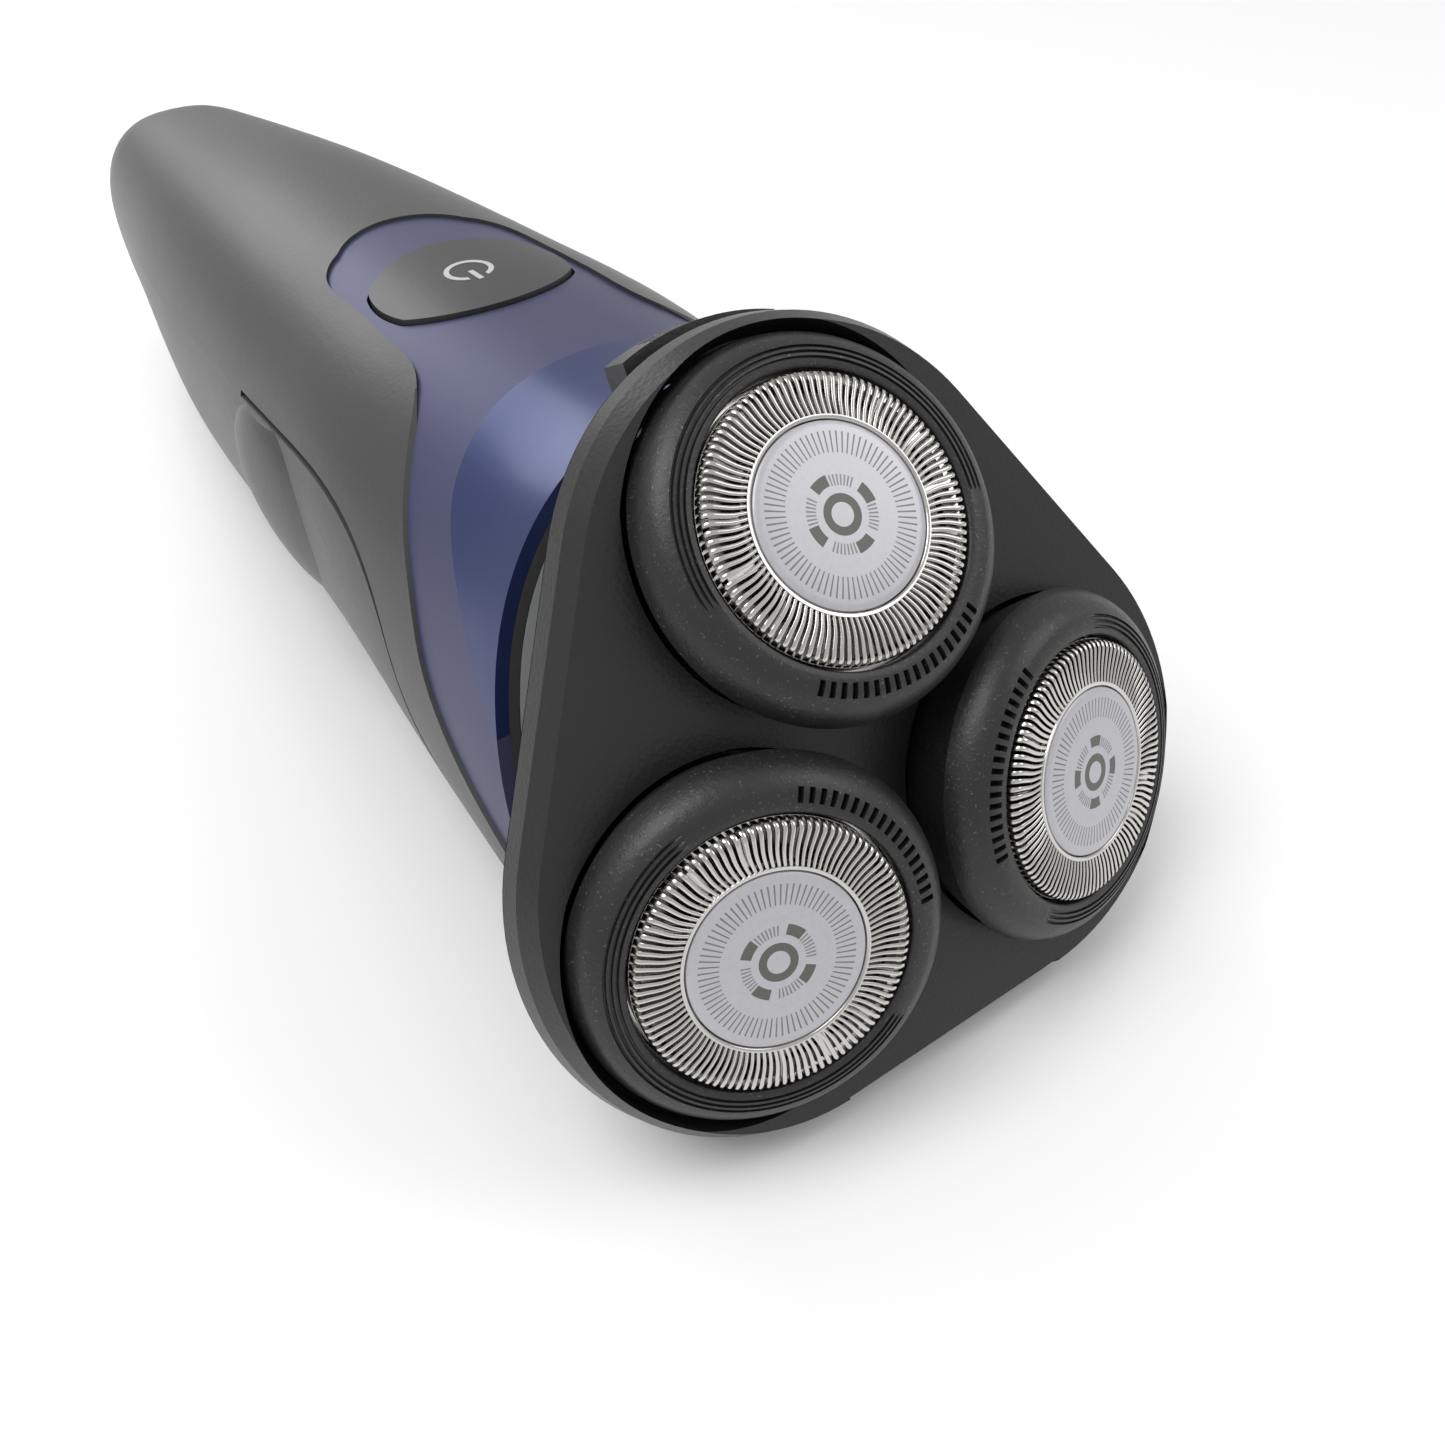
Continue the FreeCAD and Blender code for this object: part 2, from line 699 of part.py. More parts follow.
def side_knuckles(radius, grow):
    knuckles = []
    for sign in (-1, 1):
        low, high = sorted((sign * (lid_knuckle + 0.3 - grow), sign * (hinge_half + grow)))
        knuckles.append(head_bar(radius, high, low))
        foot = block(low, high, HINGE_Y - hinge_barrel, HINGE_Y + 0.6, lid_bottom - base_gap - 0.6, HINGE_Z)
        knuckles.append(foot if not grow else head_bar(radius, high, low))
    return knuckles


def head_base():
    solid = triangle_solid(BASE_SECTIONS)
    room = triangle_solid(BASE_SECTIONS[:-1] + ((base_bottom + base_floor,) + BASE_SECTIONS[-1][1:],), base_wall)
    base = solid.cut(room)
    floor_top = base_bottom + base_floor
    base = base.cut(cylinder(3.9, 40, V(0, 0, -40)))
    base = base.cut(block(-tab_half - 0.3, tab_half + 0.3, 20, 40, TAB_LOW - 0.3, TAB_HIGH + 0.3))
    base = base.cut(block(-3.4, 3.4, 20, APEX - 0.7, lid_bottom - 2.0, lid_bottom + 1))
    parts = [base] + side_knuckles(hinge_barrel, 0.0)
    for place in gear_places().values():
        parts.append(cylinder(gear_axle + 1.0, GEAR_LOW - 0.3 - floor_top, place + V(0, 0, floor_top)))
    base = fuse(parts)
    for place in gear_places().values():
        base = base.cut(cylinder(gear_axle, 3, place + V(0, 0, GEAR_LOW - 0.3 - 2)))
    base = base.cut(head_bar(hinge_pin, hinge_half + 1))
    for angle in (30, 150, 270):
        spot = V(14.5 * math.cos(math.radians(angle)), 14.5 * math.sin(math.radians(angle)), base_bottom - 1)
        base = base.cut(cylinder(0.8, 4, spot))
    return moved(base, HEAD)


def head_screws():
    screws = []
    for angle in (30, 150, 270):
        spot = V(14.5 * math.cos(math.radians(angle)), 14.5 * math.sin(math.radians(angle)), base_bottom)
        head = cylinder(1.4, 0.9, spot + V(0, 0, base_floor))
        shank = cylinder(0.8, base_floor, spot)
        screws.append(moved(fuse([head, shank]), HEAD))
    return Part.makeCompound(screws)


def gear_cover():
    """Plate over the gears, carried by the base's wall, with a hole for each spindle."""
    top = GEAR_LOW + gear_width + 1.3
    sections = ((top - 0.8, corner_distance - 0.4, corner_radius - 2.2), (top, corner_distance - 0.4,
                                                                            corner_radius - 2.2))
    plate = triangle_solid(sections, base_wall + 0.15)
    for side in CORNERS:
        plate = plate.cut(moved(cylinder(3.1, 60, V(0, 0, -30)), HEAD.inverse().multiply(cutter_place(side))))
    return moved(plate.cut(block(-8, 8, 26.4, 40, -FAR, FAR)), HEAD)


def gear_axles():
    axles = [cylinder(gear_axle, 2 + 0.3 + 1.0, place + V(0, 0, GEAR_LOW - 2.3)) for place in gear_places().values()]
    return moved(Part.makeCompound(axles), HEAD)


def involute_gear(teeth, width, phase):
    pitch = 0.5 * MODULE * teeth
    base = pitch * math.cos(math.radians(pressure_angle))
    tip = pitch + 0.8 * MODULE
    root = pitch - 1.15 * MODULE
    involute = math.tan(math.radians(pressure_angle)) - math.radians(pressure_angle)
    half = math.pi / (2 * teeth) - 0.5 * tooth_backlash / pitch + involute
    flank = []
    for i in range(5):
        radius = base + (tip - base) * i / 4
        roll = math.acos(min(1.0, base / radius))
        flank.append((radius, half - (math.tan(roll) - roll)))
    flank = [(root, half)] + flank
    points = []
    for k in range(teeth):
        middle = math.radians(phase) + 2 * math.pi * k / teeth
        for radius, angle in flank:
            points.append(V(radius * math.cos(middle - angle), radius * math.sin(middle - angle), 0))
        for radius, angle in reversed(flank):
            points.append(V(radius * math.cos(middle + angle), radius * math.sin(middle + angle), 0))
    wire = Part.makePolygon(points + [points[0]])
    return Part.Face(wire).extrude(V(0, 0, width))


def centre_gear():
    gear = moved(involute_gear(centre_teeth, gear_width, 90.0), turn(V(0, 0, 1), 0, V(0, 0, GEAR_LOW)))
    cup_radius = coupling_ball + ball_gap + 1.0
    stalk = cylinder(cup_radius, GEAR_LOW + coupling_depth + 0.8, V(0, 0, -coupling_depth - 0.8))
    gear = fuse([gear, stalk])
    gear = gear.cut(Part.makeSphere(coupling_ball + ball_gap, V(0, 0, -coupling_depth)))
    mouth = Part.makeCone(coupling_ball + ball_gap + 0.9, 1.4, 2.6, V(0, 0, -coupling_depth - 2.0))
    return moved(gear.cut(mouth), HEAD)


def driven_gear(side):
    angle = CORNERS[side]
    phase = angle + 180 + 180.0 / driven_teeth
    gear = moved(involute_gear(driven_teeth, gear_width, phase), turn(V(0, 0, 1), 0, V(0, 0, GEAR_LOW)))
    gear = gear.cut(cylinder(gear_axle + pin_fit, 20, V(0, 0, GEAR_LOW - 1)).common(
        block(-5, 5, -5, 5, GEAR_LOW - 1, GEAR_LOW + 1.05)))
    gear = gear.cut(Part.makeSphere(coupling_ball + 0.3, V(0, 0, BALL_Z)))
    gear = gear.cut(ring(7.6, 4.6, GEAR_LOW + gear_width - 0.5, GEAR_LOW + gear_width + 1))
    return moved(moved(gear, turn(V(0, 0, 1), 0, gear_places()[side])), HEAD)


BALL_Z = GEAR_LOW + gear_width + 0.5
SPINDLE_FOOT = BALL_Z / math.cos(math.radians(cutter_tilt))
SPINDLE_TOP = -3.6
HUB_LOW = -5.2


def spindle(side):
    """Drive spindle on the cutter's axis: ball foot in the gear, slim shaft, cross-shaped tip."""
    foot = Part.makeSphere(1.5, V(0, 0, SPINDLE_FOOT))
    shaft = cylinder(0.9, SPINDLE_TOP - 1.6 - SPINDLE_FOOT, V(0, 0, SPINDLE_FOOT))
    collar = cylinder(2.2, 0.8, V(0, 0, SPINDLE_FOOT + 3.4))
    tip = [block(-1.2, 1.2, -0.4, 0.4, SPINDLE_TOP - 2.2, SPINDLE_TOP),
           block(-0.4, 0.4, -1.2, 1.2, SPINDLE_TOP - 2.2, SPINDLE_TOP)]
    return moved(fuse([foot, shaft, collar] + tip), cutter_place(side))


# ---- lid, holders, guards and cutters -------------------------------------------------------
SKIRT_TOP = -3.6
SKIRT_END = -10.2
SKIRT_TAPER = 0.42
PIVOT_Z = -6.2


def skirt_radius(z, grow=0.0):
    return holder_radius + grow - max(0.0, SKIRT_TOP - z) * SKIRT_TAPER


def lid_hole():
    grow = holder_clearance
    points = ((0, -14), (skirt_radius(-14, grow), -14), (skirt_radius(SKIRT_TOP, grow), SKIRT_TOP),
              (skirt_radius(SKIRT_TOP, grow), 6), (0, 6))
    return revolve(points)


def pivot_pair(radius, start, reach):
    return [cylinder(radius, reach - start, V(0, sign * start, PIVOT_Z), V(0, sign, 0)) for sign in (-1, 1)]


def in_head(side):
    return HEAD.inverse().multiply(cutter_place(side))


def lid_frame():
    middle = 0.5 * (lid_bottom + lid_top)
    sections = ((lid_bottom, corner_distance, corner_radius),
                (middle, corner_distance, corner_radius - 0.25),
                (lid_top, corner_distance, lid_top_radius))
    lid = triangle_solid(sections)
    pocket = triangle_solid(((lid_bottom - 1, corner_distance, corner_radius),
                             (lid_top - lid_plate, corner_distance, corner_radius)), 1.5)
    lid = lid.cut(pocket)
    catch = block(-3, 3, APEX - 1.9, APEX - 1.0, lid_bottom - 1.7, lid_bottom + 0.6)
    lid = fuse([lid, catch])
    lid = lid.cut(block(-hinge_half - 0.3, hinge_half + 0.3, -60, HINGE_Y, -20, 5))
    for knuckle in side_knuckles(hinge_barrel + 0.2, 0.3):
        lid = lid.cut(knuckle)
    heel = block(-60, 60, HINGE_Y - 5, HINGE_Y, lid_bottom - 1, HINGE_Z)
    lid = lid.cut(heel.cut(head_bar(hinge_barrel + 0.5 * base_gap, 60)))
    web = block(-lid_knuckle, lid_knuckle, HINGE_Y, HINGE_Y + 1.6, HINGE_Z - 0.6, lid_top - 0.6)
    lid = fuse([lid, web, head_bar(hinge_barrel, lid_knuckle)])
    for side in CORNERS:
        lid = lid.cut(moved(lid_hole(), in_head(side)))
        for socket in pivot_pair(0.5 + pin_fit, 10, skirt_radius(PIVOT_Z) + 1.9):
            lid = lid.cut(moved(socket, in_head(side)))
    return moved(lid.cut(head_bar(hinge_pin + pin_fit, lid_knuckle + 1)), HEAD)


def lid_hinge_pin():
    return moved(head_bar(hinge_pin, hinge_half), HEAD)


def skirt_cut():
    """Everything under the slanted lower rim of a holder."""
    under = block(-40, 40, -40, 40, -80, 0)
    return moved(under, FreeCAD.Placement(V(0, 0, -7.0), FreeCAD.Rotation(V(0, 1, 0), -9.6)))


def cutter_holder():
    lip = guard_radius + 0.3
    profile = ((lip, -0.55), (11.6, -0.35), (12.6, -0.9), (13.4, -1.9), (holder_radius, SKIRT_TOP),
               (skirt_radius(SKIRT_END), SKIRT_END), (skirt_radius(SKIRT_END) - 1.0, SKIRT_END),
               (holder_radius - 1.1, SKIRT_TOP - 0.4), (12.0, -2.2), (lip, -2.2))
    shell = revolve(profile).cut(skirt_cut())
    for i in range(-7, 8):
        vent = block(-12.7, -11.5, -0.25, 0.25, -3.4, 1)
        shell = shell.cut(moved(vent, turn(V(0, 0, 1), i * 4.6)))
    return fuse([shell] + pivot_pair(0.5, skirt_radius(PIVOT_Z) - 0.6, skirt_radius(PIVOT_Z) + 1.5))


def slotted_guard():
    wall = guard_radius - 0.45
    profile = ((4.2, -1.0), (disc_radius + 0.45, -1.0), (disc_radius + 0.45, -guard_skin), (wall, -guard_skin),
               (wall, -3.1), (guard_radius + 1.2, -3.1), (guard_radius + 1.2, -2.5), (guard_radius, -2.5),
               (guard_radius, -0.3), (guard_radius - 0.3, 0), (disc_radius + 0.05, 0), (disc_radius + 0.05, -0.5),
               (4.2, -0.5))
    guard = revolve(profile)
    slots = []
    for i in range(slot_count):
        slot = block(disc_radius + 0.75, guard_radius + 1, -0.5 * slot_width, 0.5 * slot_width, -1.3, 1)
        slots.append(moved(slot, turn(V(0, 0, 1), 360.0 * i / slot_count)))
    return guard.cut(Part.makeCompound(slots))


def guard_disc():
    points = ((0, -0.5), (disc_radius, -0.5), (disc_radius, 0.0), (disc_radius - 0.2, 0.12), (0, 0.16))
    return revolve(points)


def rotary_cutter():
    outer = guard_radius - 0.45 - 0.22
    inner = disc_radius + 0.45 + 0.2
    disc = ring(outer, 2.0, -3.6, -2.8)
    hub = cylinder(2.9, -2.8 - HUB_LOW, V(0, 0, HUB_LOW)).cut(cylinder(2.0, -3.1 - HUB_LOW + 0.0, V(0, 0, HUB_LOW)))
    cap = cylinder(2.9, 0.8, V(0, 0, -3.1))
    blades = []
    for i in range(blade_count):
        blade = block(inner, outer, -0.3, 0.3, -3.0, -guard_skin - blade_gap)
        blades.append(moved(blade, turn(V(0, 0, 1), 360.0 * i / blade_count)))
    cutter = fuse([disc, hub, cap] + blades)
    return cutter.common(cylinder(outer, 20, V(0, 0, -10)))


def release_tab():
    """Push tab at the head's front, curved like the base's corner and ribbed for the thumb."""
    reach = APEX - 0.4 + tab_proud
    tab = block(-tab_half, tab_half, 28.6, reach, TAB_LOW, TAB_HIGH)
    rounded = cylinder(corner_radius - 0.4 + tab_proud, 10, V(0, corner_distance, -18))
    tab = tab.common(rounded)
    for i in range(3):
        tab = tab.cut(block(-tab_half + 1, tab_half - 1, reach - 0.35, reach + 5,
                            TAB_LOW + 0.5 + 0.9 * i, TAB_LOW + 0.9 + 0.9 * i))
    return moved(tab, HEAD)


def cutter_retainer():
    """Ring that holds the guard up in its holder and keeps the rotary cutter from dropping out."""
    reach = skirt_radius(-4.8) - 1.1
    profile = ((8.0, -4.9), (reach, -4.9), (reach, -4.2), (11.2, -4.2), (11.2, -3.1), (10.5, -3.1),
               (10.5, -4.2), (8.0, -4.2))
    return revolve(profile)


# ---- assembly -------------------------------------------------------------------------------
def lie_angle():
    """Angle that lets the head base's rear edge and the tail's back touch one level plane."""
    head_points = []
    for depth, distance, radius in BASE_SECTIONS:
        point = HEAD.multVec(V(0, rear_side(distance, radius), depth))
        head_points.append((point.y, point.z))
    tail_points = [(stretch(s), surface_bottom(s)) for s in range(110, int(SECTIONS[-1][0] - tail_round) + 1)]
    best = min(math.atan2(tz - min(z for y, z in head_points), ty) for ty, tz in tail_points)
    for _ in range(6):
        low = min(head_points, key=lambda p: p[1] * math.cos(best) - p[0] * math.sin(best))
        best = min(math.atan2(tz - low[1], ty - low[0]) for ty, tz in tail_points)
    return math.degrees(best)


def make_nodes():
    nodes = {
        "rear_shell": rear_shell(), "grip_shell": grip_shell(), "front_panel": front_panel(),
        "neck_cover": neck_cover(), "chassis": chassis(), "motor_can": motor_can(),
        "motor_shaft": motor_shaft(), "armature": armature(), "battery": battery(),
        "battery_contacts": battery_contacts(), "circuit_board": circuit_board(),
        "micro_switch": micro_switch(), "power_button": power_button(), "power_mark": power_mark(),
        "charging_socket": charging_socket(), "socket_contacts": socket_contacts(),
        "case_screws": case_screws(), "neck_seal": neck_seal(), "trimmer_housing": trimmer_housing(),
        "trimmer_arm": trimmer_arm(), "trimmer_comb": trimmer_comb(), "trimmer_blade": trimmer_blade(),
        "trimmer_pin": trimmer_pin(), "trimmer_slider": trimmer_slider(), "head_base": head_base(),
        "head_screws": head_screws(), "gear_cover": gear_cover(), "gear_axles": gear_axles(),
        "centre_gear": centre_gear(), "lid_frame": lid_frame(), "lid_hinge_pin": lid_hinge_pin(),
        "release_tab": release_tab(),
    }
    for side in CORNERS:
        place = cutter_place(side)
        nodes["driven_gear_" + side] = driven_gear(side)
        nodes["drive_spindle_" + side] = spindle(side)
        nodes["cutter_holder_" + side] = moved(cutter_holder(), place)
        nodes["slotted_guard_" + side] = moved(slotted_guard(), place)
        nodes["guard_disc_" + side] = moved(guard_disc(), place)
        nodes["cutter_retainer_" + side] = moved(cutter_retainer(), place)
        nodes["rotary_cutter_" + side] = moved(rotary_cutter(), place)
    return nodes


def row_place(nodes):
    """Lay the shaver on its back and put the origin under the middle of its box."""
    lie = turn(V(1, 0, 0), -lie_angle())
    box = FreeCAD.BoundBox()
    for shape in nodes.values():
        box.add(moved(shape, lie).optimalBoundingBox(False))
    shift = V(-0.5 * (box.XMin + box.XMax), -0.5 * (box.YMin + box.YMax), -box.ZMin)
    return FreeCAD.Placement(shift, FreeCAD.Rotation()).multiply(lie)


os.makedirs("parts", exist_ok=True)
NODES = make_nodes()
ROW = row_place(NODES)
for name, shape in NODES.items():
    moved(shape, ROW).exportStep("parts/" + name + ".step")
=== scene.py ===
import json
import math

import bmesh
import bpy
from mathutils import Matrix, Vector


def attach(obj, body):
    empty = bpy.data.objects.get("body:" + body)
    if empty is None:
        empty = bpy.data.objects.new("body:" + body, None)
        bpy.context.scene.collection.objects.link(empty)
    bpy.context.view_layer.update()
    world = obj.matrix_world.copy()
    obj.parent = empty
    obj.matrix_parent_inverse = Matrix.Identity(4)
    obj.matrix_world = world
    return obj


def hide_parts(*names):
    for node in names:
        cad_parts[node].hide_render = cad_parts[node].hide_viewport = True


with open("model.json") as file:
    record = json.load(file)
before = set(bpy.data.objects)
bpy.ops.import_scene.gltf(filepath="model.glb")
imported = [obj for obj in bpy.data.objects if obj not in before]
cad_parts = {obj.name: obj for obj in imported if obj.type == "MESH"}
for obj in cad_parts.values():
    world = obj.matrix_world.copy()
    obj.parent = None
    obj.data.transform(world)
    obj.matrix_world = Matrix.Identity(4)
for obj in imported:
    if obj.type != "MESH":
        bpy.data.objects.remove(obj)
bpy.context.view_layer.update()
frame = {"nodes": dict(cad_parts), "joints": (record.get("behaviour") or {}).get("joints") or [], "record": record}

MM = 0.001
SIDES = ("front", "left", "right")
JOINTS = {joint["name"]: joint for joint in frame["joints"]}

# Guard, disc and holder, in millimetres in each cutter's own frame.
RIB_COUNT = 104
RIB_STEPS = 12
RIB_THICKNESS = 0.42
RIB_SAG = 0.07
RIB_INNER_RADIUS = 6.9
SHOULDER_RADIUS = 9.5
TRACK_SHARE = 0.66              # of a rib's length, before it bends over the shoulder
BEND_SHARE = 0.22
RING_STEPS = 96
GUARD_RADIUS = 10.12
DISC_RADIUS = 6.55
HOLDER_STEPS = 176
HOLDER_RADIUS = 13.9
SHOULDER = -3.6
SKIRT_TAPER = 0.42
RIM_HEIGHT = -7.0
RIM_SLOPE = math.tan(math.radians(9.6))
GROOVE_DEPTH = 0.26
GROOVE_HALF_TURN = math.radians(102)
VENT_HALF_TURN = math.radians(37)
VENT_DEPTH = 0.8
VENT_BAND = (11.2, 12.2)
VENT_TOP = -1.6
TRACK_START = 10.95             # radius of the first of the three grooves
SKIRT_WALL = 1.0

# Profile heights below these mark points that make_holder moves to the grooves, rim and inner skirt.
GROOVE_MARK = -90
RIM_MARK = -199
INNER_RIM_MARK = -205

# Print on the disc: radii in millimetres, and how often each mark repeats in a turn.
TICK_BAND = (4.25, 5.75)
TICK_COUNT = 76
HUB_BAND = (0.85, 1.45)
BLOCK_BAND = (2.05, 2.85)
BLOCK_COUNT = 4
HATCH_BAND = (2.0, 2.75)
HATCH_COUNT = 56

# Camera, in millimetres in the head's frame.
CAMERA_PLACE = Vector((-50.28, 33.73, 77.47))
CAMERA_AIM = Vector((-13.25, 8.18, 0.0))
CAMERA_ROLL = math.radians(18.85)
CAMERA_LENS = 34.65


# ---- frames ---------------------------------------------------------------------------------
def axes_matrix(origin, x, y, z):
    turn = Matrix((x, y, z)).transposed().to_4x4()
    return Matrix.Translation(origin) @ turn


def head_frame():
    joint = JOINTS["centre_gear_spin"]
    z = Vector(joint["axis"])
    x = Vector((1, 0, 0))
    return axes_matrix(Vector(joint["pos_m"]), x, z.cross(x), z)


def cutter_frame(side):
    z = Vector(JOINTS["cutter_spin_" + side]["axis"])
    y = Vector(JOINTS["holder_tilt_" + side]["axis"])
    return axes_matrix(Vector(JOINTS["cutter_spin_" + side]["pos_m"]), y.cross(z), y, z)


HEAD = head_frame()
SCALE = Matrix.Scale(MM, 4)


# ---- shader maths ---------------------------------------------------------------------------
class Value:
    """A number socket whose operators add Math nodes."""

    def __init__(self, paint, socket):
        self.paint = paint
        self.socket = socket

    def math(self, operation, other=0.0):
        return self.paint.node("ShaderNodeMath", {"operation": operation}, {0: self, 1: other})

    def __add__(self, other):
        return self.math("ADD", other)

    def __sub__(self, other):
        return self.math("SUBTRACT", other)

    def __rsub__(self, other):
        return self.paint.node("ShaderNodeMath", {"operation": "SUBTRACT"}, {0: other, 1: self})

    def __mul__(self, other):
        return self.math("MULTIPLY", other)

    def __truediv__(self, other):
        return self.math("DIVIDE", other)

    def __gt__(self, other):
        return self.math("GREATER_THAN", other)

    def __lt__(self, other):
        return self.math("LESS_THAN", other)

    __radd__ = __add__
    __rmul__ = __mul__


class Paint:
    """A material on one Principled shader."""

    def __init__(self, name, colour, roughness, metallic=0.0, coat=0.0, coat_roughness=0.1):
        self.material = bpy.data.materials.new(name)
        self.material.use_nodes = True
        self.tree = self.material.node_tree
        self.shader = self.tree.nodes["Principled BSDF"]
        self.put("Base Color", (*colour, 1.0))
        self.put("Roughness", roughness)
        self.put("Metallic", metallic)
        self.put("Coat Weight", coat)
        self.put("Coat Roughness", coat_roughness)

    def put(self, name, value):
        self.link(value, self.shader.inputs[name])

    def link(self, value, socket):
        if isinstance(value, Value):
            self.tree.links.new(value.socket, socket)
        else:
            socket.default_value = value

    def node(self, kind, settings=None, inputs=None, output=0):
        node = self.tree.nodes.new(kind)
        for name, value in (settings or {}).items():
            setattr(node, name, value)
        for name, value in (inputs or {}).items():
            self.link(value, node.inputs[name])
        return Value(self, node.outputs[output])

    def place(self):
        return self.node("ShaderNodeTexCoord", output="Object")

    def noise(self, scale, detail=2.0):
        return self.node("ShaderNodeTexNoise", {}, {"Vector": self.place(), "Scale": scale, "Detail": detail})

    def mix(self, factor, first, second):
        node = self.tree.nodes.new("ShaderNodeMix")
        node.data_type = "RGBA"
        self.link(factor, node.inputs[0])
        self.link(first if isinstance(first, Value) else (*first, 1.0), node.inputs[6])
        self.link(second if isinstance(second, Value) else (*second, 1.0), node.inputs[7])
        return Value(self, node.outputs[2])

    def bump(self, height, distance):
        inputs = {"Height": height, "Distance": distance, "Strength": 1.0}
        self.put("Normal", self.node("ShaderNodeBump", {}, inputs))

    def polar(self):
        """Radius and angle on the piece's own UV map, which is laid out in millimetres."""
        uv = self.node("ShaderNodeTexCoord", output="UV")
        split = self.tree.nodes.new("ShaderNodeSeparateXYZ")
        self.link(uv, split.inputs[0])
        x = Value(self, split.outputs[0])
        y = Value(self, split.outputs[1])
        return (x * x + y * y).math("POWER", 0.5), y.math("ARCTAN2", x)


def moulded(name, colour, roughness, grain, depth, spread=0.12, metallic=0.0, coat=0.0,
            coat_roughness=0.1):
    """Moulded or lacquered plastic: fine grain, slow mottling and a little uneven gloss."""
    paint = Paint(name, colour, roughness, metallic, coat, coat_roughness)
    fine = paint.noise(grain, 3.0)
    slow = paint.noise(45.0, 2.0)
    dark = [channel * (1 - spread) for channel in colour]
    light = [channel * (1 + spread) for channel in colour]
    paint.put("Base Color", paint.mix(fine * 0.5 + slow * 0.5, dark, light))
    paint.put("Roughness", roughness - 0.06 + slow * 0.08 + fine * 0.04)
    paint.bump(fine, depth)
    return paint.material


def sparkle_plastic(name, colour, roughness):
    """Black plastic with an eroded grain and scattered light flecks."""
    paint = Paint(name, colour, roughness)
    fine = paint.noise(5200.0, 2.0)
    coarse = paint.noise(1500.0, 3.0)
    fleck = (fine > 0.66) * (coarse > 0.5)
    light = [channel * 4 + 0.05 for channel in colour]
    paint.put("Base Color", paint.mix(fleck * 0.7, colour, light))
    paint.put("Roughness", roughness - fleck * 0.12 + coarse * 0.08)
    paint.bump(fine * 0.5 + coarse, 0.00004)
    return paint.material


def metal(name, colour, roughness, grain=900.0):
    paint = Paint(name, colour, roughness, 1.0)
    rub = paint.noise(grain, 4.0)
    paint.put("Base Color", paint.mix(rub, [c * 0.86 for c in colour], colour))
    paint.put("Roughness", roughness + rub * 0.12)
    paint.bump(rub, 0.000006)
    return paint.material


def disc_finish():
    """Satin disc with fine radial ticks, a centre ring, and four blocks with hatching between them."""
    paint = Paint("guard_disc_satin", (0.62, 0.62, 0.65), 0.34, 0.35)
    radius, angle = paint.polar()
    turns = angle / (2 * math.pi) + 1.0

    def band(inner, outer):
        return (radius > inner) * (radius < outer)

    def repeat(count):
        return (turns * count).math("FRACT")

    tick = band(*TICK_BAND) * (repeat(TICK_COUNT) < 0.26)
    hub = band(*HUB_BAND)
    quarter = repeat(BLOCK_COUNT)
    dash = band(*BLOCK_BAND) * (quarter < 0.34)
    hatch = band(*HATCH_BAND) * (quarter > 0.5) * (repeat(HATCH_COUNT) < 0.42)
    print_mask = (tick * 0.8 + hub * 1.0 + dash * 1.0 + hatch * 0.7).math("MINIMUM", 1.0)
    brushed = paint.noise(2600.0, 3.0)
    base = paint.mix(brushed, (0.46, 0.46, 0.49), (0.54, 0.54, 0.57))
    paint.put("Base Color", paint.mix(print_mask, base, (0.13, 0.125, 0.115)))
    paint.put("Roughness", 0.3 + brushed * 0.1 + print_mask * 0.1)
    paint.bump(brushed * 0.3 - print_mask, 0.00002)
    return paint.material


MATERIALS = {
    "grip": moulded("grip_soft_grey", (0.048, 0.048, 0.0475), 0.38, 2400.0, 0.00002),
    "panel": moulded("panel_matt_blue", (0.062, 0.066, 0.135), 0.42, 3800.0, 0.000012, 0.18, 0.35),
    "gloss_blue": moulded("neck_gloss_blue", (0.022, 0.036, 0.135), 0.34, 3000.0, 0.000004, 0.08, 0.6,
                          0.35, 0.2),
    "head_black": moulded("head_black", (0.014, 0.014, 0.0145), 0.36, 3000.0, 0.00003, 0.2),
    "holder_black": sparkle_plastic("holder_sparkle_black", (0.016, 0.016, 0.017), 0.36),
    "steel": metal("guard_steel", (0.66, 0.645, 0.62), 0.12),
    "disc_grey": disc_finish(),
    "button": moulded("button_grey", (0.034, 0.034, 0.035), 0.36, 2600.0, 0.000008),
    "mark": moulded("mark_light_grey", (0.50, 0.50, 0.52), 0.5, 2600.0, 0.000004),
    "inner_white": moulded("gear_nylon", (0.70, 0.70, 0.67), 0.45, 1800.0, 0.00001),
    "inner_grey": moulded("inner_grey", (0.30, 0.31, 0.32), 0.5, 1800.0, 0.00002),
    "board": moulded("board_green", (0.02, 0.16, 0.06), 0.35, 900.0, 0.00001, 0.25),
    "brass": metal("contact_brass", (0.80, 0.60, 0.28), 0.25),
    "cell": moulded("cell_sleeve", (0.10, 0.22, 0.34), 0.3, 900.0, 0.000006),
    "copper": metal("copper_winding", (0.72, 0.36, 0.20), 0.35, 2600.0),
    "rubber": moulded("soft_rubber", (0.02, 0.02, 0.02), 0.7, 1500.0, 0.00003),
}
SLOT_OF = {entry["node"]: entry["material_slot"] for entry in frame["record"]["subparts"]}


